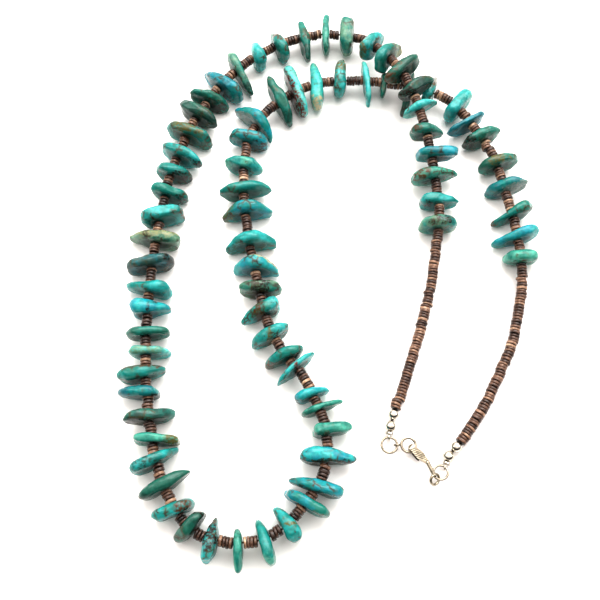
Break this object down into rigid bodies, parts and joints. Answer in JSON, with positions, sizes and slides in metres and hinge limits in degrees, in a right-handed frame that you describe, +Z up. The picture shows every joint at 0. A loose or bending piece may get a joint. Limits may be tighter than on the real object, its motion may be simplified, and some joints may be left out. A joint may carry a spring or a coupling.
{
  "type": "turquoise nugget necklace",
  "caption": "Long necklace of tumbled turquoise nuggets and brown shell discs with a silver hook and eye, lying in two loose loops.",
  "frame": {"origin": "centre of the bounding box, on the surface that the necklace lies on", "axes": "+Z up from the surface, +Y towards the far end of the long loops, +X to the right of the viewer"},
  "size_m": [0.1334, 0.1954, 0.0167],
  "materials": {
    "turquoise": "polished",
    "shell": "satin",
    "silver": "polished",
    "thread": "matte"
  },
  "bodies": {
    "root": {"thread": "thread", "nugget_01": "turquoise", "nugget_02": "turquoise", "nugget_03": "turquoise", "nugget_04": "turquoise", "nugget_05": "turquoise", "nugget_06": "turquoise", "nugget_07": "turquoise", "nugget_08": "turquoise", "nugget_09": "turquoise", "nugget_10": "turquoise", "nugget_11": "turquoise", "nugget_12": "turquoise", "nugget_13": "turquoise", "nugget_14": "turquoise", "nugget_15": "turquoise", "nugget_16": "turquoise", "nugget_17": "turquoise", "nugget_18": "turquoise", "nugget_19": "turquoise", "nugget_20": "turquoise", "nugget_21": "turquoise", "nugget_22": "turquoise", "nugget_23": "turquoise", "nugget_24": "turquoise", "nugget_25": "turquoise", "nugget_26": "turquoise", "nugget_27": "turquoise", "nugget_28": "turquoise", "nugget_29": "turquoise", "nugget_30": "turquoise", "nugget_31": "turquoise", "nugget_32": "turquoise", "nugget_33": "turquoise", "nugget_34": "turquoise", "nugget_35": "turquoise", "nugget_36": "turquoise", "nugget_37": "turquoise", "nugget_38": "turquoise", "nugget_39": "turquoise", "nugget_40": "turquoise", "nuggets_right_side": "turquoise", "nuggets_left_side": "turquoise", "heishi_right_run": "shell", "heishi_left_run": "shell", "heishi_right_spacers": "shell", "heishi_front_spacers": "shell", "heishi_left_spacers": "shell", "silver_beads_right": "silver", "silver_beads_left": "silver", "end_cup_right": "silver", "end_cup_left": "silver", "jump_ring_right": "silver", "jump_ring_left": "silver", "clasp_eye": "silver", "clasp_hook": "silver"}
  },
  "joints": []
}
